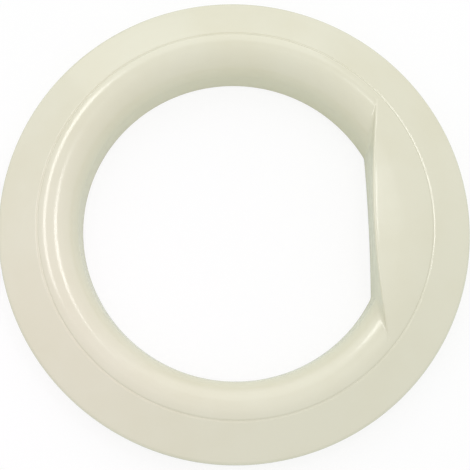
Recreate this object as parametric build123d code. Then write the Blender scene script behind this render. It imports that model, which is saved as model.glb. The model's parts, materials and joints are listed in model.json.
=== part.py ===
"""Outer door frame of a front-loading washing machine: one injection moulding in gloss plastic.

The frame lies on its back. Z is the axis of the ring and points out of the front of the machine, the back plane is
z = 0, and the moulded pull handle is on the +X side. All sizes are millimetres and degrees.
"""
import os
from math import cos, radians, sin, sqrt, tan

from build123d import *

# Ring, seen from the front
OUTER_D = 460.0
HOLE_D = 300.0
CREST_HEIGHT = 46.7
WALL = 2.5

# Inner roll: a drafted collar round the hole that turns over into the crest
COLLAR_DRAFT = 6.0
ROLL_RADIUS = 27.0
CREST_FLAT = 4.3
CREST_ROUND = 2.4

# Outer rim: a sloping cone with a fine groove at its inner end and a rounded outer edge
LAND_WIDTH = 6.1
GROOVE_WIDTH = 2.4
GROOVE_DEPTH = 0.8
RIM_SLOPE = 26.5
EDGE_ROUND = 6.0
SKIRT_DRAFT = 1.0

# Pull handle: the rim carried inwards as a crowned face that ends in a long arc over the hole
HANDLE_REACH = 19.7
HANDLE_ARC_RADIUS = 664.0
HANDLE_UNDERCUT = 1.3
HANDLE_BLEND = 9.0
CROWN_RUN = 40.5

# Screw bosses behind the show face, each on a radial rib
BOSS_COUNT = 6
BOSS_INSET = 24.0
BOSS_D = 9.0
BOSS_SETBACK = 3.0
PILOT_D = 3.2
PILOT_DEPTH = 16.0
RIB_THICKNESS = 1.8
RIB_SETBACK = 15.0

# Notch for the hinge in the rear edge of the skirt
HINGE_NOTCH_WIDTH = 96.0
HINGE_NOTCH_HEIGHT = 10.0
HINGE_NOTCH_ROUND = 3.0

# Tool clearance, past the faces that a cut runs out of, and how near counts as touching
CLEAR = 20.0
TOUCH = 0.01

# Radii, worked out from the hole outwards
outer_r = OUTER_D / 2
hole_r = HOLE_D / 2
slope = radians(RIM_SLOPE)
draft = radians(COLLAR_DRAFT)
skirt_draft = radians(SKIRT_DRAFT)
roll_z = CREST_HEIGHT - ROLL_RADIUS
roll_r = hole_r + ROLL_RADIUS / cos(draft) + roll_z * tan(draft)
crest_r = roll_r + CREST_FLAT
groove_r = crest_r + LAND_WIDTH

# Crown of the handle: an arc that leaves the rim's cone at the groove and passes through the crest
crown_top_r = crest_r - CROWN_RUN
crown_radius = (groove_r - crown_top_r) / sin(slope)
crown_z = CREST_HEIGHT - sqrt(crown_radius**2 - CROWN_RUN**2)
handle_height = crown_z + crown_radius
groove_z = crown_z + crown_radius * cos(slope)

# Rounded outer edge, tangent to the rim's cone and to the skirt
edge_r = outer_r - EDGE_ROUND
edge_z = groove_z - (edge_r - groove_r) * tan(slope) - EDGE_ROUND / cos(slope)
skirt_rear_r = edge_r + EDGE_ROUND / cos(skirt_draft) - edge_z * tan(skirt_draft)

# Handle's edge in plan
handle_x = hole_r - HANDLE_REACH
handle_axis_x = handle_x + HANDLE_ARC_RADIUS
handle_lean = HANDLE_UNDERCUT / handle_height

# Screws, and the floor, ceiling and far side of the cutters
boss_r = outer_r - BOSS_INSET
floor_z = -CLEAR
ceiling_z = handle_height + CLEAR
far_r = outer_r + CLEAR

# Sections are drawn in radius and height on the side opposite the handle, and stand on these alignments
SECTION = Plane.XZ.rotated((0, 0, 180))
UPRIGHT = (Align.CENTER, Align.CENTER, Align.MIN)
OUTWARD = (Align.MIN, Align.CENTER, Align.MIN)


def turned(edges):
    """Solid of revolution about Z from a closed section in radius and height."""
    return revolve(SECTION * make_face(edges), Axis.Z)


def turned_polygon(points):
    """Solid of revolution about Z from the corners of a straight-sided section."""
    return turned(Polyline(*points, close=True).edges())


def on_crown(radius, angle):
    """Point at an angle from the axis on a circle about the centre of the handle's crown."""
    return crown_top_r + radius * sin(angle), crown_z + radius * cos(angle)


def on_roll(radius, angle):
    """Point at an angle above the plane of the hole on a circle about the centre of the inner roll."""
    return roll_r - radius * cos(angle), roll_z + radius * sin(angle)


def collar_foot(top):
    """Point on the floor plane where the collar that comes down from the roll ends."""
    return top[0] - (top[1] - floor_z) * tan(draft), floor_z


def behind_wall(inset):
    """Everything on the far side of the handle's leaning wall, set back from it by inset."""
    foot_radius = HANDLE_ARC_RADIUS - inset - handle_lean * (handle_height - floor_z)
    head_radius = HANDLE_ARC_RADIUS - inset + handle_lean * (ceiling_z - handle_height)
    cone = Cone(foot_radius, head_radius, ceiling_z - floor_z, align=UPRIGHT)
    return Pos(handle_axis_x, 0, floor_z) * cone


def blank():
    """Everything under the show face, with the handle's crown carried right round and no hole in it."""
    rim_end = (edge_r + EDGE_ROUND * sin(slope), edge_z + EDGE_ROUND * cos(slope))
    skirt_start = (edge_r + EDGE_ROUND * cos(skirt_draft), edge_z - EDGE_ROUND * sin(skirt_draft))
    skirt_end = (skirt_rear_r, 0)
    return turned([
        Line((0, 0), (0, handle_height)),
        Line((0, handle_height), (crown_top_r, handle_height)),
        CenterArc((crown_top_r, crown_z), crown_radius, 90, -RIM_SLOPE),
        Line((groove_r, groove_z), rim_end),
        CenterArc((edge_r, edge_z), EDGE_ROUND, 90 - RIM_SLOPE, RIM_SLOPE - 90 - SKIRT_DRAFT),
        Line(skirt_start, skirt_end),
        Line(skirt_end, (0, 0)),
    ])


def bowl():
    """Space of the hole and over its roll, cut off at the handle's wall with a blended corner."""
    collar_top = on_roll(ROLL_RADIUS, draft)
    space = turned([
        Line((0, floor_z), collar_foot(collar_top)),
        Line(collar_foot(collar_top), collar_top),
        CenterArc((roll_r, roll_z), ROLL_RADIUS, 180 - COLLAR_DRAFT, COLLAR_DRAFT - 90),
        Line((roll_r, CREST_HEIGHT), (far_r, CREST_HEIGHT)),
        Line((far_r, CREST_HEIGHT), (far_r, ceiling_z)),
        Line((far_r, ceiling_z), (0, ceiling_z)),
        Line((0, ceiling_z), (0, floor_z)),
    ])
    space -= behind_wall(0)
    wall = space.faces().sort_by(lambda face: face.center().X)[-1]
    corner = [edge for edge in wall.edges() if floor_z + TOUCH < edge.center().Z < CREST_HEIGHT + TOUCH]
    return fillet(corner, HANDLE_BLEND)


def groove():
    """Ring of three-cornered section that cuts the fine groove between the crown and the rim's cone."""

    def corner(along, above):
        return (
            groove_r + along * cos(slope) + above * sin(slope),
            groove_z - along * sin(slope) + above * cos(slope),
        )

    return turned_polygon([
        corner(-GROOVE_WIDTH, GROOVE_DEPTH),
        corner(0, -GROOVE_DEPTH),
        corner(GROOVE_WIDTH, GROOVE_DEPTH),
    ])


def is_crown(face):
    """Whether a face belongs to the handle's crown or the flat inside it."""
    point = face.center()
    run = max(sqrt(point.X**2 + point.Y**2) - crown_top_r, 0)
    height = crown_z + sqrt(max(crown_radius**2 - run**2, 0))
    return abs(point.Z - height) < TOUCH


def crown_border(solid):
    """Edges along which the crown ends, at the crest and over the handle's wall."""
    crown = [face for face in solid.faces() if is_crown(face)]
    border = []
    for face in crown:
        inner = [edge for other in crown if other is not face for edge in other.edges()]
        border += [edge for edge in face.edges() if not any(edge.is_same(other) for other in inner)]
    return [edge for edge in border if edge.center().Z > CREST_HEIGHT - TOUCH]


def show_face():
    """Solid frame as seen from the front, with its crest and handle edge rounded."""
    solid = blank() - bowl()
    return fillet(crown_border(solid), CREST_ROUND) - groove()


def core(inset, rear):
    """Straight-sided space behind the show face, set back from it by at least inset, down to the plane z = rear."""
    crown = crown_radius - inset
    rim_start = on_crown(crown, slope)
    skirt_r = skirt_rear_r - inset / cos(skirt_draft)
    drop = rim_start[1] - (skirt_r - rim_start[0]) * tan(slope)
    corner_z = drop / (1 + tan(skirt_draft) * tan(slope))
    under = turned_polygon([
        (0, rear),
        (0, crown_z + crown),
        on_crown(crown, 0),
        on_crown(crown, slope / 2),
        rim_start,
        (skirt_r + corner_z * tan(skirt_draft), corner_z),
        (skirt_r + rear * tan(skirt_draft), rear),
    ])
    roll = ROLL_RADIUS - inset
    collar_top = on_roll(roll, draft)
    upright = radians(90)
    hole = turned_polygon([
        (0, floor_z),
        collar_foot(collar_top),
        collar_top,
        on_roll(roll, (draft + upright) / 2),
        on_roll(roll, upright),
        (far_r, roll_z + roll),
        (far_r, ceiling_z),
        (0, ceiling_z),
    ])
    return under - (hole - behind_wall(inset))


def round_ring(solid):
    """Copies of a solid made on the X axis, turned to each boss's place."""
    step = 360 / BOSS_COUNT
    return [Rot(0, 0, step * (index + 0.5)) * solid for index in range(BOSS_COUNT)]


def backing():
    """Screw bosses and the radial rib through each of them, up to the middle of the wall."""
    boss = Pos(boss_r, 0, BOSS_SETBACK) * Cylinder(BOSS_D / 2, ceiling_z, align=UPRIGHT)
    rib = Pos(handle_x, 0, RIB_SETBACK) * Box(outer_r - handle_x, RIB_THICKNESS, ceiling_z, align=OUTWARD)
    return (Part() + round_ring(boss) + round_ring(rib)) & core(WALL / 2, 0)


def pilot_holes():
    """Blind holes for the screws that hold the inner frame."""
    hole = Cylinder(PILOT_D / 2, PILOT_DEPTH, align=UPRIGHT)
    return round_ring(Pos(boss_r, 0, BOSS_SETBACK) * hole)


def hinge_notch():
    """Block that cuts the hinge's notch into the skirt opposite the handle."""
    outline = RectangleRounded(HINGE_NOTCH_WIDTH, 2 * HINGE_NOTCH_HEIGHT, HINGE_NOTCH_ROUND)
    return Pos(-boss_r - BOSS_D / 2, 0, 0) * extrude(Plane.YZ * outline, boss_r - far_r)


def main():
    frame = show_face() - core(WALL, floor_z)
    frame = frame + backing() - pilot_holes() - hinge_notch()
    os.makedirs("parts", exist_ok=True)
    export_step(frame, "parts/outer_door_frame.step")


main()
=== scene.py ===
"""Looks of a washing machine's outer door frame: one gloss ivory moulding with a pull handle.

The frame lies on a white floor and keeps the place of its solid: Z is the axis of the ring, the back plane
is z = 0, and the handle is on the +X side. All lengths are metres.
"""

import json
from math import asin, atan, cos, pi, radians, sin, tan

import bpy
import numpy as np
from bpy.props import FloatProperty, FloatVectorProperty, IntProperty, PointerProperty
from mathutils import Matrix, Vector

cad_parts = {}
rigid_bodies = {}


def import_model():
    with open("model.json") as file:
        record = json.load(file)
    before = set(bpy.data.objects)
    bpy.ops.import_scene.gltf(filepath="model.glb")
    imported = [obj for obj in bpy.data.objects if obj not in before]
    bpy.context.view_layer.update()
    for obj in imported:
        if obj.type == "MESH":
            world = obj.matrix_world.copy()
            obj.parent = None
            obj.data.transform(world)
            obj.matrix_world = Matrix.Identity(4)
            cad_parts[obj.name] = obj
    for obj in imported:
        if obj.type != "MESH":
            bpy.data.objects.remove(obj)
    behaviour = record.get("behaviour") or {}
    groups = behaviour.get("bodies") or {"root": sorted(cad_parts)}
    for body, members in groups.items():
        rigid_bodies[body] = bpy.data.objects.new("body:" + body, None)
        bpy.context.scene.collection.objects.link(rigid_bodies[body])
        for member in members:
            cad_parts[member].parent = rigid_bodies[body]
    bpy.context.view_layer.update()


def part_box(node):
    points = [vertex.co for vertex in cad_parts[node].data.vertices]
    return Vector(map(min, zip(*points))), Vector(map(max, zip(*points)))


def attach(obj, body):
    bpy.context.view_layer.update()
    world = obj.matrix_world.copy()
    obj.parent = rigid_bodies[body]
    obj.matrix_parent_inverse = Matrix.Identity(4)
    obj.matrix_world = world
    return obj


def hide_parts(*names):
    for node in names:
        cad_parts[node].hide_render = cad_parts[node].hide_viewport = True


for leftover in list(bpy.data.objects):
    bpy.data.objects.remove(leftover)

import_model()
LOW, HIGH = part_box("outer_door_frame")

bl_info = {
    "name": "Washing machine door frame",
    "version": (1, 0, 0),
    "blender": (4, 5, 0),
    "location": "View3D > Sidebar > Door Frame",
    "description": "Builds the outer frame of a washing machine's door, and a studio to show it in",
    "category": "Object",
}

# Rows of the mesh over the roll, the land, the groove, the rim, the outer edge and the skirt
FRONT_ROWS = (58, 30, 14, 10, 14, 8)
BACK_ROWS = (22, 12, 4, 6, 6, 4)
RIB_ROWS = (22, 12, 4, 6, 6, 2)

# How strongly the rows crowd towards the crest from the roll and from the land
ROLL_PULL = 1.6
LAND_PULL = 1.7

# How far the groove's close rows reach to either side of its middle, in widths of the groove
GROOVE_REACH = 0.8

# Columns of the mesh over the handle, one side, a corner of the hinge notch and half of the notch
HANDLE_COLUMNS = 230
SIDE_COLUMNS = 92
CORNER_COLUMNS = 7
NOTCH_COLUMNS = 9

# How far the handle's close columns run on past its tips
PAST_HANDLE = radians(6)

# Width of the column with the notch's upright side, and where on the corner's round the next one begins
NOTCH_SIDE = 5e-5
CORNER_START = 0.15

# Halvings in a search for an edge and for the surface, and how far from the spine the surface can be
EDGE_HALVINGS = 40
SURFACE_HALVINGS = 26
SEARCH_REACH = 0.15

# Sides of a boss and of its pilot hole, and the bend from which a corner is crisp
BOSS_SIDES = 40
PILOT_SIDES = 24
CRISP_BEND = radians(40)

# Lengths that count as touching and as nothing, and the cosine past which two faces count as one plane
TOUCHING = 1e-6
NOTHING = 1e-9
ONE_PLANE = 0.9999


def length(name, description, default):
    """Length in metres that a user may change."""
    return FloatProperty(
        name=name,
        description=description,
        default=default,
        min=0.0,
        precision=4,
        subtype="DISTANCE",
        unit="LENGTH",
    )


def angle(name, description, degrees):
    """Angle that a user may change, given in degrees."""
    return FloatProperty(
        name=name, description=description, default=radians(degrees), subtype="ANGLE", unit="ROTATION"
    )


def share(name, description, default):
    """Number from none to all."""
    return FloatProperty(
        name=name, description=description, default=default, min=0.0, max=1.0, subtype="FACTOR"
    )


def number(name, description, default):
    """Plain number, none or more."""
    return FloatProperty(name=name, description=description, default=default, min=0.0)


def spot(name, description, default):
    """Place of the middle of a lamp."""
    return FloatVectorProperty(
        name=name, description=description, default=default, size=3, subtype="TRANSLATION", unit="LENGTH"
    )


def extent(name, description, default):
    """Width and depth of a lamp."""
    return FloatVectorProperty(
        name=name, description=description, default=default, size=2, min=0.0, unit="LENGTH"
    )


def power(name, description, default):
    """Power of a lamp in watts."""
    return FloatProperty(name=name, description=description, default=default, min=0.0, unit="POWER")


def colour(name, description, default):
    """Linear colour that a user may change."""
    return FloatVectorProperty(
        name=name, description=description, default=default, size=3, min=0.0, max=1.0, subtype="COLOR"
    )


class FrameSizes(bpy.types.PropertyGroup):
    """Sizes of the moulding."""

    outer_diameter: length("Outer diameter", "Across the rounded outer edge", HIGH.x - LOW.x)
    hole_diameter: length("Hole diameter", "Across the window hole at the back plane", 0.300)
    crest_height: length("Crest height", "From the back plane to the top of the inner roll", 0.0467)
    wall: length("Wall", "Thickness of the moulding", 0.0025)
    collar_draft: angle("Collar draft", "Lean of the collar round the hole", 6.0)
    roll_radius: length("Roll radius", "Round of the inner roll", 0.027)
    crest_flat: length("Crest flat", "Level strip between the roll and the crest's edge", 0.0043)
    crest_round: length("Crest round", "Soft round of the blunt edge along the crest", 0.020)
    handle_round: length("Handle round", "Round of the sharper edge along the handle", 0.0024)
    land_width: length("Land width", "From the crest's edge to the groove", 0.0061)
    groove_shift: length("Groove shift", "From the crown's end to the middle of the fine groove", 0.0009)
    groove_width: length("Groove width", "Width of the fine groove at the surface", 0.0034)
    groove_depth: length("Groove depth", "Depth of the fine groove", 0.0010)
    groove_round: length("Groove round", "Round of the groove's lips and floor", 0.0005)
    rim_slope: angle("Rim slope", "Fall of the outer rim", 26.5)
    edge_round: length("Edge round", "Round of the outer edge", 0.006)
    skirt_draft: angle("Skirt draft", "Lean of the outer skirt", 1.0)
    handle_reach: length("Handle reach", "How far the handle comes in over the hole", 0.0197)
    handle_arc: length("Handle arc", "Radius of the handle's edge in plan", 0.664)
    handle_undercut: length("Handle undercut", "How far the wall's middle leans back at its foot", 0.0031)
    foot_arc: length("Foot arc", "Radius of the wall's foot in plan, which bows away from the hole", 1.9)
    handle_blend: length("Handle blend", "Round where the handle's wall meets the roll", 0.009)
    blend_growth: number("Blend growth", "How fast the blend's root grows from the handle's tips", 1.2)
    tip_blend: share("Tip blend", "Root of the share of the blend that is left at the tips", 0.2)
    blunt_fade: number("Blunt fade", "How soon the crest's soft round gives way to the handle's", 10.0)
    handle_height: length("Handle height", "From the back plane to the handle's edge", HIGH.z - LOW.z)
    handle_fall: angle("Handle fall", "Fall of the handle's face next to its edge", 4.0)
    land_fall: length("Land fall", "From the height of the crest down to the groove", 0.00280)
    notch_width: length("Hinge notch width", "Width of the notch in the skirt", 0.096)
    notch_height: length("Hinge notch height", "Height of the notch in the skirt", 0.010)
    notch_round: length("Hinge notch round", "Round of the notch's corners", 0.003)
    boss_count: IntProperty(name="Bosses", description="Screw bosses, each on a rib", default=6, min=1)
    boss_inset: length("Boss inset", "From the outer edge to the bosses' circle", 0.024)
    boss_diameter: length("Boss diameter", "Outside of a boss", 0.009)
    boss_setback: length("Boss setback", "From the back plane to a boss's end", 0.003)
    pilot_diameter: length("Pilot diameter", "Screw hole in a boss", 0.0032)
    pilot_depth: length("Pilot depth", "Depth of the screw hole", 0.016)
    rib_thickness: length("Rib thickness", "Thickness of a rib", 0.0018)
    rib_setback: length("Rib setback", "From the back plane to a rib's edge", 0.015)


class FrameFinish(bpy.types.PropertyGroup):
    """Finish of the gloss ivory plastic."""

    ivory: colour("Ivory", "Main colour of the plastic", (0.757, 0.742, 0.592))
    cream: colour("Cream", "Warmer tone that clouds the plastic", (0.737, 0.716, 0.556))
    shine: share("Shine", "Roughness where the mould was polished best", 0.16)
    haze: share("Haze", "Roughness where the surface is handled", 0.27)
    peel: length("Orange peel", "Height of the fine waviness of the moulded surface", 0.00002)
    coat: share("Coat", "Strength of the clear gloss on top", 0.5)
    coat_haze: share("Coat haze", "Roughness of the clear gloss", 0.1)
    refraction: number("Refraction", "Index of refraction of the plastic", 1.5)
    cloud_scale: number("Cloud scale", "Clouds of colour to a metre", 14.0)
    cream_below: share("Cream below", "Density of the clouds up to which the plastic is all cream", 0.3)
    ivory_above: share("Ivory above", "Density of the clouds from which the plastic is all ivory", 0.62)
    smear_scale: number("Smear scale", "Hazy smears to a metre", 55.0)
    shine_below: share("Shine below", "Density of the smears up to which the shine is best", 0.35)
    haze_above: share("Haze above", "Density of the smears from which the haze is full", 0.7)
    wave_scale: number("Wave scale", "Moulded waves to a metre", 420.0)
    peel_strength: share("Peel strength", "How strongly the moulded waves turn the light", 0.35)


class StudioSetup(bpy.types.PropertyGroup):
    """Floor, light and camera."""

    floor_colour: colour("Floor", "Pale colour that the floor throws back at the frame", (0.76, 0.81, 0.74))
    floor_glow: share("Floor glow", "How much of the shadow the bright floor swallows", 0.8)
    floor_mirrored: share("Floor mirrored", "How white the floor shows in the frame's gloss", 0.1)
    floor_reach: length("Floor reach", "From the middle of the floor to its sides", 6.0)
    floor_gap: length("Floor gap", "From the floor up to the frame", 0.0004)
    room_light: number("Room light", "Strength of the even white light", 0.832)
    key_power: power("Key power", "Power of the large soft light beyond the top of the picture", 15.0)
    key_place: spot("Key place", "Middle of the key light", (-0.3, 2.3, 1.7))
    key_size: extent("Key size", "Width and depth of the key light", (3.2, 2.2))
    side_power: power("Side power", "Power of the long light at the left, seen only in the gloss", 8.5)
    side_place: spot("Side place", "Middle of the side light", (-0.92, 0.66, 1.4))
    side_size: extent("Side size", "Length and depth of the side light", (1.45, 0.5))
    side_lean: number("Side lean", "How far the side light's length leans to the left, over its rise", 0.1)
    overhead_power: power("Overhead power", "Power of the small soft light overhead", 1.0)
    overhead_place: spot("Overhead place", "Middle of the overhead light", (0.34, 0.33, 1.25))
    overhead_size: extent("Overhead size", "Width and depth of the overhead light", (0.26, 0.22))
    fill_power: power("Fill power", "Power of the faint light over the left, not seen in the gloss", 0.032)
    fill_place: spot("Fill place", "Middle of the fill light, which points down", (-0.18, -0.1, 0.5))
    fill_size: extent("Fill size", "Width and depth of the fill light", (0.16, 0.16))
    fill_spread: angle("Fill spread", "How wide the fill light opens", 70.0)
    fill_colour: colour("Fill colour", "Rosy tint of the fill light", (1.0, 0.5, 1.0))
    camera_distance: length("Camera distance", "From the camera to the middle of the back plane", 1.212)
    camera_tilt: angle("Camera tilt", "Lean of the view towards the lower side of the picture", 12.57)
    camera_swing: angle("Camera swing", "Lean of the view towards the left of the picture", 9.4)
    camera_roll: angle("Camera roll", "Turn of the frame in the picture", 1.4)
    view_width: length("View width", "Width that the picture shows at the back plane", 0.46645)
    view_drop: share("View drop", "How far the picture's middle is below the frame's, of its width", 0.01085)


def join(first, second, radius):
    """Depth below two faces and the way they face, their common edge rounded by a ball of that radius."""
    depth_1, facing_1 = first
    depth_2, facing_2 = second
    bend = np.clip((facing_1 * facing_2).sum(-1), -ONE_PLANE, ONE_PLANE)
    short_1 = radius - depth_1
    short_2 = radius - depth_2
    part_1 = (short_1 - bend * short_2) / (1 - bend * bend)
    part_2 = (short_2 - bend * short_1) / (1 - bend * bend)
    arm = part_1[..., None] * facing_1 + part_2[..., None] * facing_2
    span = np.maximum(np.sqrt((arm * arm).sum(-1)), NOTHING)
    rounded = (part_1 > 0) & (part_2 > 0)
    first_nearer = depth_1 < depth_2
    depth = np.where(rounded, radius - span, np.where(first_nearer, depth_1, depth_2))
    plain = np.where(first_nearer[..., None], facing_1, facing_2)
    return depth, np.where(rounded[..., None], arm / span[..., None], plain)


def other_side(face):
    """The same face, seen from the space in front of it."""
    return -face[0], -face[1]


class Moulding:
    """Surfaces of the frame, worked out from its sizes.

    Each surface gives the depth of points below it and the way it faces there. The spine is a ring inside
    the section, and the mesh is found by going out from it.
    """

    SPINE_R = 0.195
    SPINE_Z = 0.010

    def __init__(self, sizes):
        self.sizes = sizes
        slope = sizes.rim_slope
        draft = sizes.collar_draft
        self.outer_r = sizes.outer_diameter / 2
        self.hole_r = sizes.hole_diameter / 2
        self.roll_z = sizes.crest_height - sizes.roll_radius
        self.roll_r = self.hole_r + sizes.roll_radius / cos(draft) + self.roll_z * tan(draft)
        self.crest_r = self.roll_r + sizes.crest_flat
        self.groove_r = self.crest_r + sizes.land_width
        self.groove_z = sizes.crest_height - sizes.land_fall
        fall = sizes.handle_fall
        climb = sizes.handle_height - self.groove_z
        climb -= (self.groove_r - self.hole_r + sizes.handle_reach) * tan(fall)
        self.crown_radius = climb / (cos(fall) - cos(slope) - (sin(slope) - sin(fall)) * tan(fall))
        self.crown_r = self.groove_r - self.crown_radius * sin(slope)
        self.crown_z = self.groove_z - self.crown_radius * cos(slope)
        self.edge_r = self.outer_r - sizes.edge_round
        drop = (self.edge_r - self.groove_r) * tan(slope)
        self.edge_z = self.groove_z - drop - sizes.edge_round / cos(slope)
        skirt_draft = sizes.skirt_draft
        self.skirt_r = self.edge_r + sizes.edge_round / cos(skirt_draft) - self.edge_z * tan(skirt_draft)
        self.notch_angle = asin(sizes.notch_width / 2 / self.skirt_r)
        self.handle_axis_x = self.hole_r - sizes.handle_reach + sizes.handle_arc

    def turned_face(self, points, radius, height, lean):
        """Straight-sided face turned about Z, through one radius and height; lean is 0 where it faces up."""
        run = np.hypot(points[..., 0], points[..., 1])
        depth = (radius - run) * sin(lean) + (height - points[..., 2]) * cos(lean)
        out = sin(lean) / run
        up = np.full_like(run, cos(lean))
        return depth, np.stack([points[..., 0] * out, points[..., 1] * out, up], -1)

    def crown_and_rim(self, points):
        """The handle's crowned face, carried right round, and the cone of the rim that it runs into."""
        run = np.hypot(points[..., 0], points[..., 1])
        over = run - self.crown_r
        up = points[..., 2] - self.crown_z
        lean = np.clip(np.arctan2(over, up), self.sizes.handle_fall, self.sizes.rim_slope)
        depth = self.crown_radius - over * np.sin(lean) - up * np.cos(lean)
        out = np.sin(lean) / run
        return depth, np.stack([points[..., 0] * out, points[..., 1] * out, np.cos(lean)], -1)

    def handle_wall(self, points):
        """Wall under the handle: its edge is a long arc in plan, and its foot bows back the other way."""
        sizes = self.sizes
        side = points[..., 1]
        rise = points[..., 2] / sizes.handle_height
        level = np.sqrt(sizes.handle_arc**2 - side**2)
        edge = self.handle_axis_x - level
        foot = self.handle_axis_x - sizes.handle_arc + sizes.handle_undercut - side**2 / (2 * sizes.foot_arc)
        across = rise * side / level - (1 - rise) * side / sizes.foot_arc
        facing = np.stack([np.full_like(rise, -1), across, (edge - foot) / sizes.handle_height], -1)
        steep = np.sqrt((facing * facing).sum(-1))
        return (points[..., 0] - foot - (edge - foot) * rise) / steep, facing / steep[..., None]

    def hole_side(self, points):
        """Collar, roll and crest round the hole, blended into the handle's wall."""
        sizes = self.sizes
        collar = self.turned_face(points, self.hole_r, 0, sizes.collar_draft - pi / 2)
        crest = self.turned_face(points, 0, sizes.crest_height, 0)
        roll = join(collar, crest, sizes.roll_radius)
        run = np.hypot(points[..., 0], points[..., 1])
        rise = (self.top_height(run, 0.0) - sizes.crest_height) / (sizes.handle_height - sizes.crest_height)
        blend = sizes.handle_blend * np.clip(sizes.blend_growth * rise, sizes.tip_blend, 1) ** 2
        space = join(other_side(roll), other_side(self.handle_wall(points)), blend)
        return other_side(space)

    def show_face(self, points):
        """The whole front, without its groove."""
        sizes = self.sizes
        skirt = self.turned_face(points, self.skirt_r, 0, sizes.skirt_draft + pi / 2)
        outside = join(self.crown_and_rim(points), skirt, sizes.edge_round)
        inside = self.hole_side(points)
        bend = (outside[1] * inside[1]).sum(-1) / cos(sizes.rim_slope)
        blunt = np.clip(bend, 0, 1) ** sizes.blunt_fade
        return join(outside, inside, sizes.handle_round + (sizes.crest_round - sizes.handle_round) * blunt)

    def on_rim(self, along, below):
        """Radius and height of a place that far down the rim from the crown's end, and that far under it."""
        slope = self.sizes.rim_slope
        radius = self.groove_r + along * cos(slope) - below * sin(slope)
        return radius, self.groove_z - along * sin(slope) - below * cos(slope)

    def grooved_face(self, points):
        """The whole front, with the fine groove at the inner end of the rim."""
        sizes = self.sizes
        flare = atan(2 * sizes.groove_depth / sizes.groove_width)
        floor_r, floor_z = self.on_rim(sizes.groove_shift, sizes.groove_depth)
        inner = self.turned_face(points, floor_r, floor_z, sizes.rim_slope + flare)
        outer = self.turned_face(points, floor_r, floor_z, sizes.rim_slope - flare)
        cut = join(other_side(inner), other_side(outer), sizes.groove_round)
        return join(self.show_face(points), other_side(cut), sizes.groove_round)

    def top_height(self, run, inset):
        """Height of the crown or the rim at a radius, set back below the surface."""
        over = run - self.crown_r
        radius = self.crown_radius - inset
        lean = np.arcsin(np.clip(over / radius, sin(self.sizes.handle_fall), sin(self.sizes.rim_slope)))
        return self.crown_z + (radius - over * np.sin(lean)) / np.cos(lean)

    def place(self, turns, run, height):
        """Points at angles round the ring, radii and heights."""
        turns, run, height = np.broadcast_arrays(turns, run, height)
        return np.stack([np.cos(turns) * run, np.sin(turns) * run, height], -1)

    def hole_edge(self, turns, inset, far_r, height_at):
        """Radius at which the material beside the hole begins, at the height that goes with each radius."""
        near = np.full_like(turns, self.hole_r - 2 * self.sizes.handle_reach)
        far = np.full_like(turns, far_r)
        for _ in range(EDGE_HALVINGS):
            middle = (near + far) / 2
            solid = self.hole_side(self.place(turns, middle, height_at(middle)))[0] > inset
            near = np.where(solid, near, middle)
            far = np.where(solid, middle, far)
        return far

    def spine_angle(self, run, height):
        """Direction from the spine inside the section, 0 straight up and turning outwards."""
        return np.arctan2(run - self.SPINE_R, height - self.SPINE_Z)

    def edge_angle(self, turns, inset):
        """Direction from the spine to the crest's or the handle's edge."""
        run = self.hole_edge(turns, inset, self.groove_r, lambda radius: self.top_height(radius, inset))
        return self.spine_angle(run, self.top_height(run, inset))

    def foot_angle(self, turns, inset, height):
        """Direction from the spine to the foot of the collar or of the handle's wall, at that height."""
        run = self.hole_edge(turns, inset, self.SPINE_R, lambda radius: height)
        return self.spine_angle(run, height)

    def bearings(self, turns, inset, near_foot, far_foot, counts):
        """Directions from the spine, from the hole's foot over the front to the skirt's foot."""
        sizes = self.sizes
        slope = sizes.rim_slope
        draft = sizes.skirt_draft
        low = sizes.edge_round - inset
        reach = GROOVE_REACH * sizes.groove_width
        skirt_r = self.skirt_r - inset / cos(draft) + far_foot * tan(draft)
        marks = [
            self.foot_angle(turns, inset, near_foot),
            self.edge_angle(turns, inset),
            self.spine_angle(*self.on_rim(sizes.groove_shift - reach, inset)),
            self.spine_angle(*self.on_rim(sizes.groove_shift + reach, inset)),
            self.spine_angle(self.edge_r + low * sin(slope), self.edge_z + low * cos(slope)),
            self.spine_angle(self.edge_r + low * cos(draft), self.edge_z - low * sin(draft)),
            self.spine_angle(skirt_r, far_foot),
        ]
        pulls = [lambda u: 1 - (1 - u) ** ROLL_PULL, lambda u: u**LAND_PULL]
        pulls += [lambda u: u] * (len(counts) - len(pulls))
        runs = []
        for start, end, count, pull in zip(marks, marks[1:], counts, pulls):
            along = pull(np.linspace(0, 1, count, endpoint=False))
            start, end = np.broadcast_arrays(np.atleast_1d(start), np.atleast_1d(end))
            run = start[:, None] + (end - start)[:, None] * along
            runs.append(np.broadcast_to(run, (len(turns), count)))
        runs.append(np.broadcast_to(np.atleast_1d(marks[-1])[:, None], (len(turns), 1)))
        return np.concatenate(runs, 1)

    def section(self, turns, surface, inset, near_foot, far_foot, counts):
        """Points of a surface, set back by inset, from the hole's foot over the front to the skirt."""
        bearing = self.bearings(turns, inset, near_foot, far_foot, counts)
        out = np.sin(bearing)
        out_x = np.cos(turns)[:, None] * out
        out_y = np.sin(turns)[:, None] * out
        heading = np.stack([out_x, out_y, np.cos(bearing)], -1)
        spine = self.place(turns, self.SPINE_R, self.SPINE_Z)[:, None, :]
        near = np.zeros(bearing.shape)
        far = np.full(bearing.shape, SEARCH_REACH)
        for _ in range(SURFACE_HALVINGS):
            middle = (near + far) / 2
            solid = surface(spine + heading * middle[..., None])[0] > inset
            near = np.where(solid, middle, near)
            far = np.where(solid, far, middle)
        return spine + heading * near[..., None]

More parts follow.
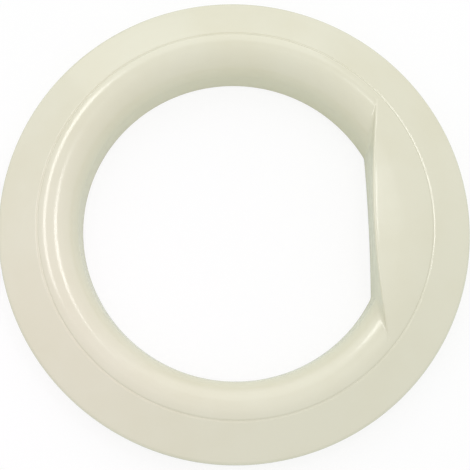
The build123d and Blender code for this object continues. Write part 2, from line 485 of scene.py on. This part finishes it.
    def columns(self):
        """Angles round the ring, closest together at the handle and at the corners of the hinge notch."""
        sizes = self.sizes
        axis = self.handle_axis_x
        reach = (self.crest_r**2 + axis**2 - sizes.handle_arc**2) / (2 * self.crest_r * axis)
        tip = np.arccos(reach) + PAST_HANDLE
        bends = np.linspace(CORNER_START, pi / 2, CORNER_COLUMNS)
        inside = np.concatenate([[0, NOTCH_SIDE], sizes.notch_round * (1 - np.cos(bends))])
        corner = pi - (self.notch_angle - inside / self.skirt_r)
        handle = np.linspace(-tip, tip, HANDLE_COLUMNS)[:-1]
        side = np.linspace(tip, pi - self.notch_angle, SIDE_COLUMNS)[:-1]
        half = np.concatenate([side, corner, np.linspace(corner[-1], pi, NOTCH_COLUMNS)[1:]])
        return np.concatenate([handle, half, 2 * pi - half[-2:0:-1]])

    def skirt_foot(self, turns):
        """Height of the skirt's rear edge, which the hinge notch lifts opposite the handle."""
        sizes = self.sizes
        inside = (self.notch_angle - np.abs(turns - pi)) * self.skirt_r
        bend = sizes.notch_round - np.clip(inside, 0, sizes.notch_round)
        arch = sizes.notch_height - sizes.notch_round + np.sqrt(sizes.notch_round**2 - bend**2)
        return np.where(inside > TOUCHING, arch, 0.0)


def add_object(name, held):
    """Object at the origin that holds a mesh, a lamp or a camera."""
    made = bpy.data.objects.new(name, held)
    bpy.context.scene.collection.objects.link(made)
    return made


def shade(mesh):
    """Smooth faces with crisp corners."""
    mesh.shade_smooth()
    mesh.set_sharp_from_angle(angle=CRISP_BEND)


def seat(piece):
    """Makes a piece part of the moulding."""
    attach(piece, "root")


def link(tree, source, target):
    """Joins two sockets of a node tree."""
    tree.links.new(source, target)


def speckle(tree, place, scale, detail):
    """Even noise on the piece's own coordinates."""
    made = tree.nodes.new("ShaderNodeTexNoise")
    made.inputs["Scale"].default_value = scale
    made.inputs["Detail"].default_value = detail
    link(tree, place.outputs["Object"], made.inputs["Vector"])
    return made.outputs["Fac"]


def ivory_plastic(finish):
    """Gloss ivory plastic: faint clouds in its colour, a hazier shine in places and fine moulded waves."""
    made = bpy.data.materials.get("ivory_gloss")
    if made:
        return made
    made = bpy.data.materials.new("ivory_gloss")
    made.use_nodes = True
    tree = made.node_tree
    skin = tree.nodes["Principled BSDF"]
    skin.inputs["IOR"].default_value = finish.refraction
    skin.inputs["Coat Weight"].default_value = finish.coat
    skin.inputs["Coat Roughness"].default_value = finish.coat_haze
    place = tree.nodes.new("ShaderNodeTexCoord")

    tint = tree.nodes.new("ShaderNodeValToRGB")
    cream, ivory = tint.color_ramp.elements
    cream.position = finish.cream_below
    cream.color = (*finish.cream, 1)
    ivory.position = finish.ivory_above
    ivory.color = (*finish.ivory, 1)
    link(tree, speckle(tree, place, finish.cloud_scale, detail=3), tint.inputs["Fac"])
    link(tree, tint.outputs["Color"], skin.inputs["Base Color"])

    shine = tree.nodes.new("ShaderNodeMapRange")
    shine.inputs["From Min"].default_value = finish.shine_below
    shine.inputs["From Max"].default_value = finish.haze_above
    shine.inputs["To Min"].default_value = finish.shine
    shine.inputs["To Max"].default_value = finish.haze
    link(tree, speckle(tree, place, finish.smear_scale, detail=5), shine.inputs["Value"])
    link(tree, shine.outputs["Result"], skin.inputs["Roughness"])

    peel = tree.nodes.new("ShaderNodeBump")
    peel.inputs["Strength"].default_value = finish.peel_strength
    peel.inputs["Distance"].default_value = finish.peel
    link(tree, speckle(tree, place, finish.wave_scale, detail=2), peel.inputs["Height"])
    link(tree, peel.outputs["Normal"], skin.inputs["Normal"])
    return made


def nodes_tree(name, numbers):
    """Empty geometry tree with named inputs, and its group input and output nodes."""
    tree = bpy.data.node_groups.new(name, "GeometryNodeTree")
    kinds = [("Geometry", "NodeSocketGeometry"), *numbers, ("Material", "NodeSocketMaterial")]
    for label, kind in kinds:
        tree.interface.new_socket(name=label, in_out="INPUT", socket_type=kind)
    tree.interface.new_socket(name="Geometry", in_out="OUTPUT", socket_type="NodeSocketGeometry")
    return tree, tree.nodes.new("NodeGroupInput"), tree.nodes.new("NodeGroupOutput")


def finish_tree(tree, start, end, geometry):
    """Last nodes of a tree: real geometry, with its material."""
    real = tree.nodes.new("GeometryNodeRealizeInstances")
    paint = tree.nodes.new("GeometryNodeSetMaterial")
    link(tree, geometry, real.inputs["Geometry"])
    link(tree, real.outputs["Geometry"], paint.inputs["Geometry"])
    link(tree, start.outputs["Material"], paint.inputs["Material"])
    link(tree, paint.outputs["Geometry"], end.inputs["Geometry"])


def grow(piece, tree, values):
    """Runs a geometry tree on a piece and keeps what it makes as a plain mesh."""
    modifier = piece.modifiers.new(tree.name, "NODES")
    modifier.node_group = tree
    for item in tree.interface.items_tree:
        if item.in_out == "INPUT" and item.name in values:
            modifier[item.identifier] = values[item.name]
    graph = bpy.context.evaluated_depsgraph_get()
    mesh = bpy.data.meshes.new_from_object(piece.evaluated_get(graph))
    if not mesh.polygons:
        raise RuntimeError(f"{piece.name} came out empty")
    piece.modifiers.remove(modifier)
    piece.data = mesh
    shade(mesh)


def combine(tree, z, x=None):
    """Vector made of a socket for Z and perhaps one for X."""
    made = tree.nodes.new("ShaderNodeCombineXYZ")
    link(tree, z, made.inputs["Z"])
    if x:
        link(tree, x, made.inputs["X"])
    return made.outputs["Vector"]


def reckon(tree, operation, first, second):
    """Result of one step of arithmetic on two sockets or numbers."""
    made = tree.nodes.new("ShaderNodeMath")
    made.operation = operation
    for socket, value in zip(made.inputs, (first, second)):
        if isinstance(value, bpy.types.NodeSocket):
            link(tree, value, socket)
        else:
            socket.default_value = value
    return made.outputs["Value"]


def leaning_post(tree, value):
    """Post round the origin whose top leans with the roof that it runs into."""
    post = tree.nodes.new("GeometryNodeMeshCylinder")
    post.inputs["Vertices"].default_value = BOSS_SIDES
    link(tree, value["Boss Radius"], post.inputs["Radius"])
    link(tree, value["Boss Height"], post.inputs["Depth"])
    place = tree.nodes.new("GeometryNodeInputPosition")
    parts = tree.nodes.new("ShaderNodeSeparateXYZ")
    link(tree, place.outputs["Position"], parts.inputs["Vector"])
    lean = tree.nodes.new("GeometryNodeSetPosition")
    link(tree, post.outputs["Mesh"], lean.inputs["Geometry"])
    link(tree, reckon(tree, "GREATER_THAN", parts.outputs["Z"], 0.0), lean.inputs["Selection"])
    fall = reckon(tree, "MULTIPLY", parts.outputs["X"], value["Roof Fall"])
    link(tree, combine(tree, z=reckon(tree, "MULTIPLY", fall, -1.0)), lean.inputs["Offset"])
    return lean.outputs["Geometry"]


def pilot_drill(tree, value, half):
    """Drill half sunk into the foot of a post round the origin, half being half the post's height."""
    drill = tree.nodes.new("GeometryNodeMeshCylinder")
    drill.inputs["Vertices"].default_value = PILOT_SIDES
    link(tree, value["Pilot Radius"], drill.inputs["Radius"])
    link(tree, reckon(tree, "MULTIPLY", value["Pilot Depth"], 2.0), drill.inputs["Depth"])
    lower = tree.nodes.new("GeometryNodeTransform")
    link(tree, drill.outputs["Mesh"], lower.inputs["Geometry"])
    link(tree, combine(tree, z=reckon(tree, "MULTIPLY", half, -1.0)), lower.inputs["Translation"])
    return lower.outputs["Geometry"]


def boss_tree():
    """Ring of screw bosses: drilled posts whose tops lean with the roof that they run into."""
    lengths = ["Pitch Radius", "Boss Radius", "Boss Height", "Setback", "Pilot Radius", "Pilot Depth"]
    numbers = [(label, "NodeSocketFloat") for label in (*lengths, "Roof Fall")]
    tree, start, end = nodes_tree("Screw bosses", [("Count", "NodeSocketInt"), *numbers])
    value = start.outputs
    half = reckon(tree, "MULTIPLY", value["Boss Height"], 0.5)
    bore = tree.nodes.new("GeometryNodeMeshBoolean")
    bore.operation = "DIFFERENCE"
    link(tree, leaning_post(tree, value), bore.inputs["Mesh 1"])
    link(tree, pilot_drill(tree, value, half), bore.inputs["Mesh 2"])

    shift = tree.nodes.new("GeometryNodeTransform")
    link(tree, bore.outputs["Mesh"], shift.inputs["Geometry"])
    rise = reckon(tree, "ADD", half, value["Setback"])
    link(tree, combine(tree, z=rise, x=value["Pitch Radius"]), shift.inputs["Translation"])

    spots = tree.nodes.new("GeometryNodeMeshLine")
    link(tree, value["Count"], spots.inputs["Count"])
    spots.inputs["Offset"].default_value = (0, 0, 0)
    index = tree.nodes.new("GeometryNodeInputIndex")
    step = reckon(tree, "DIVIDE", 2 * pi, value["Count"])
    turn = reckon(tree, "MULTIPLY", reckon(tree, "ADD", index.outputs["Index"], 0.5), step)
    copies = tree.nodes.new("GeometryNodeInstanceOnPoints")
    link(tree, spots.outputs["Mesh"], copies.inputs["Points"])
    link(tree, shift.outputs["Geometry"], copies.inputs["Instance"])
    link(tree, combine(tree, z=turn), copies.inputs["Rotation"])
    finish_tree(tree, start, end, copies.outputs["Instances"])
    return tree


def rib_tree():
    """Plates of even thickness from flat outlines."""
    tree, start, end = nodes_tree("Ribs", [("Thickness", "NodeSocketFloat")])
    normal = tree.nodes.new("GeometryNodeInputNormal")
    back = tree.nodes.new("GeometryNodeSetPosition")
    move = tree.nodes.new("ShaderNodeVectorMath")
    move.operation = "SCALE"
    link(tree, normal.outputs["Normal"], move.inputs["Vector"])
    link(tree, reckon(tree, "MULTIPLY", start.outputs["Thickness"], -0.5), move.inputs["Scale"])
    link(tree, start.outputs["Geometry"], back.inputs["Geometry"])
    link(tree, move.outputs["Vector"], back.inputs["Offset"])
    raised = tree.nodes.new("GeometryNodeExtrudeMesh")
    link(tree, back.outputs["Geometry"], raised.inputs["Mesh"])
    link(tree, start.outputs["Thickness"], raised.inputs["Offset Scale"])
    flipped = tree.nodes.new("GeometryNodeFlipFaces")
    link(tree, back.outputs["Geometry"], flipped.inputs["Mesh"])
    both = tree.nodes.new("GeometryNodeJoinGeometry")
    link(tree, raised.outputs["Mesh"], both.inputs["Geometry"])
    link(tree, flipped.outputs["Mesh"], both.inputs["Geometry"])
    welded = tree.nodes.new("GeometryNodeMergeByDistance")
    welded.inputs["Distance"].default_value = TOUCHING
    link(tree, both.outputs["Geometry"], welded.inputs["Geometry"])
    finish_tree(tree, start, end, welded.outputs["Geometry"])
    return tree


class DOOR_FRAME_OT_moulding(bpy.types.Operator):
    """Builds the ring with its rim, groove, rolled inner edge and pull handle"""

    bl_idname = "door_frame.moulding"
    bl_label = "Moulding"

    def execute(self, context):
        sizes = context.scene.door_frame_sizes
        form = Moulding(sizes)
        turns = form.columns()
        foot = form.skirt_foot(turns)
        front = form.section(turns, form.grooved_face, 0.0, 0.0, foot, FRONT_ROWS)
        back = form.section(turns, form.show_face, sizes.wall, 0.0, foot, BACK_ROWS)
        grid = np.concatenate([front, back[:, ::-1]], 1)
        around, along = grid.shape[:2]
        column, row = np.meshgrid(np.arange(around), np.arange(along), indexing="ij")
        next_column = (column + 1) % around
        next_row = (row + 1) % along
        corners = [(column, row), (column, next_row), (next_column, next_row), (next_column, row)]
        faces = np.stack([c * along + r for c, r in corners], -1).reshape(-1, 4)
        mesh = bpy.data.meshes.new("frame_moulding")
        mesh.from_pydata(grid.reshape(-1, 3).tolist(), [], faces.tolist())
        mesh.materials.append(ivory_plastic(context.scene.door_frame_finish))
        shade(mesh)
        piece = add_object("frame_moulding", mesh)
        seat(piece)
        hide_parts("outer_door_frame")
        return {"FINISHED"}


class DOOR_FRAME_OT_screw_bosses(bpy.types.Operator):
    """Builds the drilled bosses that take the screws of the inner frame"""

    bl_idname = "door_frame.screw_bosses"
    bl_label = "Screw bosses"

    def execute(self, context):
        sizes = context.scene.door_frame_sizes
        form = Moulding(sizes)
        pitch = form.outer_r - sizes.boss_inset
        roof = float(form.top_height(np.array(pitch), sizes.wall / 2))
        piece = add_object("screw_bosses", bpy.data.meshes.new("screw_bosses"))
        grow(piece, boss_tree(), {
            "Count": sizes.boss_count,
            "Pitch Radius": pitch,
            "Boss Radius": sizes.boss_diameter / 2,
            "Boss Height": roof - sizes.boss_setback,
            "Setback": sizes.boss_setback,
            "Roof Fall": tan(sizes.rim_slope),
            "Pilot Radius": sizes.pilot_diameter / 2,
            "Pilot Depth": sizes.pilot_depth,
            "Material": ivory_plastic(context.scene.door_frame_finish),
        })
        seat(piece)
        return {"FINISHED"}


class DOOR_FRAME_OT_ribs(bpy.types.Operator):
    """Builds the radial ribs that stiffen the back, one through each boss"""

    bl_idname = "door_frame.ribs"
    bl_label = "Ribs"

    def execute(self, context):
        sizes = context.scene.door_frame_sizes
        form = Moulding(sizes)
        turns = (np.arange(sizes.boss_count) + 0.5) * 2 * pi / sizes.boss_count
        rear = sizes.rib_setback
        foot = np.full_like(turns, rear)
        grid = form.section(turns, form.show_face, sizes.wall / 2, rear, foot, RIB_ROWS)
        along = grid.shape[1]
        mesh = bpy.data.meshes.new("ribs")
        outlines = [list(range(first, first + along)) for first in range(0, len(turns) * along, along)]
        mesh.from_pydata(grid.reshape(-1, 3).tolist(), [], outlines)
        piece = add_object("ribs", mesh)
        grow(piece, rib_tree(), {
            "Thickness": sizes.rib_thickness,
            "Material": ivory_plastic(context.scene.door_frame_finish),
        })
        seat(piece)
        return {"FINISHED"}


def where_seen(tree, mirrored):
    """Factor that is 1 for rays from the camera or through glass, mirrored for gloss and 0 for the light."""
    path = tree.nodes.new("ShaderNodeLightPath")
    gloss = reckon(tree, "MULTIPLY", path.outputs["Is Glossy Ray"], mirrored)
    seen = reckon(tree, "MAXIMUM", path.outputs["Is Camera Ray"], path.outputs["Is Transmission Ray"])
    return reckon(tree, "MAXIMUM", seen, gloss)


def white_floor(studio):
    """Matt floor that is white where it is seen, keeps a faint shadow and throws back a pale colour."""
    made = bpy.data.materials.new("white_floor")
    made.use_nodes = True
    tree = made.node_tree
    paint = tree.nodes["Principled BSDF"]
    paint.inputs["Roughness"].default_value = 0.9
    paint.inputs["Specular IOR Level"].default_value = 0.0
    tone = tree.nodes.new("ShaderNodeMix")
    tone.data_type = "RGBA"
    tone.inputs["A"].default_value = (*studio.floor_colour, 1)
    tone.inputs["B"].default_value = (1, 1, 1, 1)
    seen = where_seen(tree, studio.floor_mirrored)
    link(tree, seen, tone.inputs["Factor"])
    link(tree, tone.outputs["Result"], paint.inputs["Base Color"])
    glow = tree.nodes.new("ShaderNodeEmission")
    mix = tree.nodes.new("ShaderNodeMixShader")
    link(tree, reckon(tree, "MULTIPLY", seen, studio.floor_glow), mix.inputs["Fac"])
    link(tree, paint.outputs["BSDF"], mix.inputs[1])
    link(tree, glow.outputs["Emission"], mix.inputs[2])
    link(tree, mix.outputs["Shader"], tree.nodes["Material Output"].inputs["Surface"])
    return made


def white_room(studio):
    """World that is white where it is seen and gives an even light of its own strength."""
    made = bpy.data.worlds.new("white_room")
    made.use_nodes = True
    tree = made.node_tree
    room = tree.nodes["Background"]
    room.inputs["Color"].default_value = (1, 1, 1, 1)
    room.inputs["Strength"].default_value = studio.room_light
    seen = tree.nodes.new("ShaderNodeBackground")
    seen.inputs["Color"].default_value = (1, 1, 1, 1)
    seen.inputs["Strength"].default_value = 1.0
    mix = tree.nodes.new("ShaderNodeMixShader")
    link(tree, where_seen(tree, 1.0), mix.inputs["Fac"])
    link(tree, room.outputs["Background"], mix.inputs[1])
    link(tree, seen.outputs["Background"], mix.inputs[2])
    link(tree, mix.outputs["Shader"], tree.nodes["World Output"].inputs["Surface"])
    return made


class DOOR_FRAME_OT_studio(bpy.types.Operator):
    """Sets up the white floor, the soft light and the camera"""

    bl_idname = "door_frame.studio"
    bl_label = "Studio"

    def execute(self, context):
        scene = context.scene
        studio = scene.door_frame_studio
        self.floor(studio)
        scene.world = white_room(studio)
        self.lamps(studio)
        self.camera(scene, studio)
        scene.view_settings.view_transform = "Standard"
        return {"FINISHED"}

    def floor(self, studio):
        """Wide square floor just under the frame."""
        side = studio.floor_reach
        corners = [(-side, -side, 0), (side, -side, 0), (side, side, 0), (-side, side, 0)]
        mesh = bpy.data.meshes.new("floor")
        mesh.from_pydata(corners, [], [(0, 1, 2, 3)])
        mesh.transform(Matrix.Translation((0, 0, -studio.floor_gap)))
        mesh.materials.append(white_floor(studio))
        add_object("floor", mesh)

    def lamps(self, studio):
        """Key light, side light, overhead light and fill light."""
        level = (1, 0, 0)
        upright = (-studio.side_lean, 1, 0)
        self.lamp("key_light", studio.key_power, studio.key_place, studio.key_size, level)
        strip = self.lamp("side_light", studio.side_power, studio.side_place, studio.side_size, upright)
        strip.visible_diffuse = False
        self.lamp(
            "overhead_light", studio.overhead_power, studio.overhead_place, studio.overhead_size, level
        )
        fill = self.lamp("fill_light", studio.fill_power, studio.fill_place, studio.fill_size, level)
        fill.matrix_world = Matrix.Translation(fill.location)
        fill.data.spread = studio.fill_spread
        fill.data.color = studio.fill_colour
        fill.visible_glossy = False
        fill.visible_camera = False

    def lamp(self, name, watts, place, size, along):
        """Flat lamp that faces the middle of the frame, with its width along a direction."""
        made = bpy.data.lights.new(name, "AREA")
        made.shape = "RECTANGLE"
        made.size, made.size_y = size
        made.energy = watts
        back = Vector(place).normalized()
        up = back.cross(along).normalized()
        turn = Matrix((up.cross(back), up, back)).transposed()
        stand = add_object(name, made)
        stand.matrix_world = Matrix.Translation(place) @ turn.to_4x4()
        return stand

    def camera(self, scene, studio):
        """Camera that looks down at the frame from a little below it and to its left."""
        lens = bpy.data.cameras.new("camera")
        lens.sensor_width = 36.0
        lens.lens = lens.sensor_width * studio.camera_distance / studio.view_width
        lens.shift_y = -studio.view_drop
        tilt = studio.camera_tilt
        swing = studio.camera_swing
        back = Vector((-sin(tilt) * sin(swing), -sin(tilt) * cos(swing), cos(tilt)))
        right = Vector((0, 1, 0)).cross(back).normalized()
        up = back.cross(right)
        stand = Matrix((right, up, back)).transposed()
        turn = Matrix.Rotation(-studio.camera_roll, 3, "Z") @ stand
        made = add_object("camera", lens)
        made.matrix_world = Matrix.Translation(turn.col[2] * studio.camera_distance) @ turn.to_4x4()
        scene.camera = made


class DOOR_FRAME_PT_panel(bpy.types.Panel):
    """Lists the pieces of the door frame and their sizes"""

    bl_idname = "DOOR_FRAME_PT_panel"
    bl_label = "Door Frame"
    bl_space_type = "VIEW_3D"
    bl_region_type = "UI"
    bl_category = "Door Frame"

    def draw(self, context):
        for operator in OPERATORS:
            self.layout.operator(operator.bl_idname)
        for group in GROUPS:
            box = self.layout.box()
            for label in GROUPS[group].__annotations__:
                box.prop(getattr(context.scene, group), label)


GROUPS = {
    "door_frame_sizes": FrameSizes,
    "door_frame_finish": FrameFinish,
    "door_frame_studio": StudioSetup,
}
OPERATORS = (DOOR_FRAME_OT_moulding, DOOR_FRAME_OT_screw_bosses, DOOR_FRAME_OT_ribs, DOOR_FRAME_OT_studio)
CLASSES = (*GROUPS.values(), *OPERATORS, DOOR_FRAME_PT_panel)


def register():
    """Makes the classes and the settings known to Blender."""
    for made in CLASSES:
        bpy.utils.register_class(made)
    for name, group in GROUPS.items():
        setattr(bpy.types.Scene, name, PointerProperty(type=group))


def unregister():
    """Takes the settings and the classes out again."""
    for name in GROUPS:
        delattr(bpy.types.Scene, name)
    for made in reversed(CLASSES):
        bpy.utils.unregister_class(made)


def main():
    """Builds the pieces and the studio."""
    register()
    bpy.ops.door_frame.moulding()
    bpy.ops.door_frame.screw_bosses()
    bpy.ops.door_frame.ribs()
    bpy.ops.door_frame.studio()


if __name__ == "__main__":
    main()
